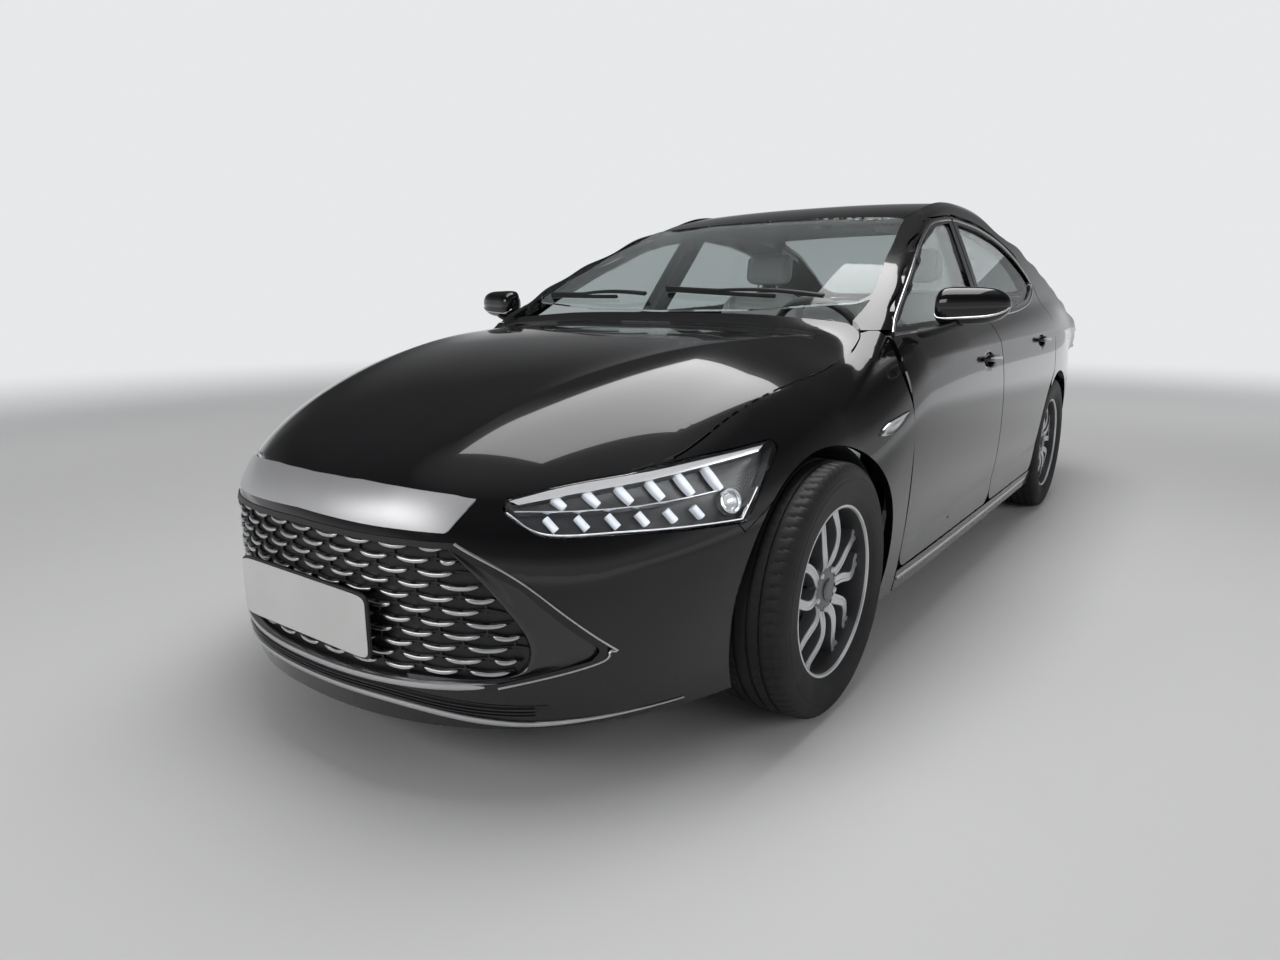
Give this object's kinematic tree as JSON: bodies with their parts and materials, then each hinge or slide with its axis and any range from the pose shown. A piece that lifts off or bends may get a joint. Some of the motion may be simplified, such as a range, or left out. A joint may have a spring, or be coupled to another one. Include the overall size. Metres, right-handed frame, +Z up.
{
  "type": "sedan car",
  "caption": "Four-door passenger saloon car with opening doors, bonnet and boot lid, steered front wheels and a hollow cabin with seats.",
  "frame": {"origin": "on the ground, midway between the ends of the bumpers and on the middle plane", "axes": "+X towards the front of the car, +Y to its left, +Z up"},
  "size_m": [4.7774, 2.18, 1.4721],
  "materials": {
    "paint": "deep gloss black with clear coat",
    "glass": "tinted safety glass",
    "casting": "raw casting",
    "gloss_black": "piano black",
    "tyre": "matt rubber",
    "alloy": "machined face over dark grey",
    "lamp_red": "red lamp lens",
    "lamp_clear": "clear lamp lens",
    "chrome": "satin bright metal",
    "underbody": "coated steel",
    "liner": "moulded liner",
    "upholstery": "light grey upholstery",
    "trim": "grained dark trim",
    "leather": "black leather"
  },
  "bodies": {
    "root": {"body_side_left": "paint", "body_side_right": "paint", "front_fender_left": "paint", "front_fender_right": "paint", "windscreen": "glass", "roof_panel": "paint", "rear_window": "glass", "tail_lamps": "lamp_red", "rear_bumper": "paint", "front_bumper": "paint", "grille": "gloss_black", "grille_bar": "chrome", "headlamps": "lamp_clear", "floor_pan": "underbody", "wheel_arch_liners": "liner", "engine_block": "casting", "front_carrier": "underbody", "rear_axle": "casting", "front_seats": "upholstery", "rear_bench": "upholstery", "parcel_shelf": "trim", "dashboard": "trim"},
    "bonnet": {"bonnet": "paint"},
    "boot_lid": {"boot_lid": "paint", "boot_lamp": "lamp_red"},
    "steering_wheel": {"steering_wheel": "leather"},
    "door_front_left": {"door_front_left": "paint", "glass_front_left": "glass", "mirror_left": "gloss_black"},
    "door_rear_left": {"door_rear_left": "paint", "glass_rear_left": "glass"},
    "knuckle_left": {"knuckle_left": "casting"},
    "door_front_right": {"door_front_right": "paint", "glass_front_right": "glass", "mirror_right": "gloss_black"},
    "door_rear_right": {"door_rear_right": "paint", "glass_rear_right": "glass"},
    "knuckle_right": {"knuckle_right": "casting"},
    "wheel_front_left": {"tyre_front_left": "tyre", "rim_front_left": "alloy"},
    "wheel_front_right": {"tyre_front_right": "tyre", "rim_front_right": "alloy"},
    "wheel_rear_left": {"tyre_rear_left": "tyre", "rim_rear_left": "alloy"},
    "wheel_rear_right": {"tyre_rear_right": "tyre", "rim_rear_right": "alloy"}
  },
  "joints": [
    {"name": "door_front_left_hinge", "type": "hinge", "parent": "root", "child": "door_front_left", "pos_m": [0.925, 0.897, 0.55], "axis": [0, 0, -1], "range_deg": [0, 65]},
    {"name": "door_rear_left_hinge", "type": "hinge", "parent": "root", "child": "door_rear_left", "pos_m": [-0.128, 0.897, 0.55], "axis": [0, 0, -1], "range_deg": [0, 65]},
    {"name": "door_front_right_hinge", "type": "hinge", "parent": "root", "child": "door_front_right", "pos_m": [0.925, -0.897, 0.55], "axis": [0, 0, 1], "range_deg": [0, 65]},
    {"name": "door_rear_right_hinge", "type": "hinge", "parent": "root", "child": "door_rear_right", "pos_m": [-0.128, -0.897, 0.55], "axis": [0, 0, 1], "range_deg": [0, 65]},
    {"name": "bonnet_hinge", "type": "hinge", "parent": "root", "child": "bonnet", "pos_m": [0.962, 0, 0.998], "axis": [0, -1, 0], "range_deg": [0, 50]},
    {"name": "boot_lid_hinge", "type": "hinge", "parent": "root", "child": "boot_lid", "pos_m": [-1.826, 0, 1.078], "axis": [0, 1, 0], "range_deg": [0, 75]},
    {"name": "steer_left", "type": "hinge", "parent": "root", "child": "knuckle_left", "pos_m": [1.45, 0.745, 0.334], "axis": [0, 0, 1], "range_deg": [-35, 35]},
    {"name": "steer_right", "type": "hinge", "parent": "root", "child": "knuckle_right", "pos_m": [1.45, -0.745, 0.334], "axis": [0, 0, 1], "range_deg": [-35, 35]},
    {"name": "steering_wheel_turn", "type": "hinge", "parent": "root", "child": "steering_wheel", "pos_m": [0.48, 0.37, 0.9], "axis": [-0.9135, 0, 0.4067], "range_deg": [-500, 500]},
    {"name": "roll_front_left", "type": "hinge", "parent": "knuckle_left", "child": "wheel_front_left", "pos_m": [1.45, 0.79, 0.334], "axis": [0, 1, 0], "continuous": true},
    {"name": "roll_front_right", "type": "hinge", "parent": "knuckle_right", "child": "wheel_front_right", "pos_m": [1.45, -0.79, 0.334], "axis": [0, 1, 0], "continuous": true},
    {"name": "roll_rear_left", "type": "hinge", "parent": "root", "child": "wheel_rear_left", "pos_m": [-1.268, 0.79, 0.334], "axis": [0, 1, 0], "continuous": true},
    {"name": "roll_rear_right", "type": "hinge", "parent": "root", "child": "wheel_rear_right", "pos_m": [-1.268, -0.79, 0.334], "axis": [0, 1, 0], "continuous": true}
  ],
  "couplings": [
    {"joint": "steer_right", "follows": "steer_left", "ratio": 1},
    {"joint": "steering_wheel_turn", "follows": "steer_left", "ratio": 14}
  ]
}
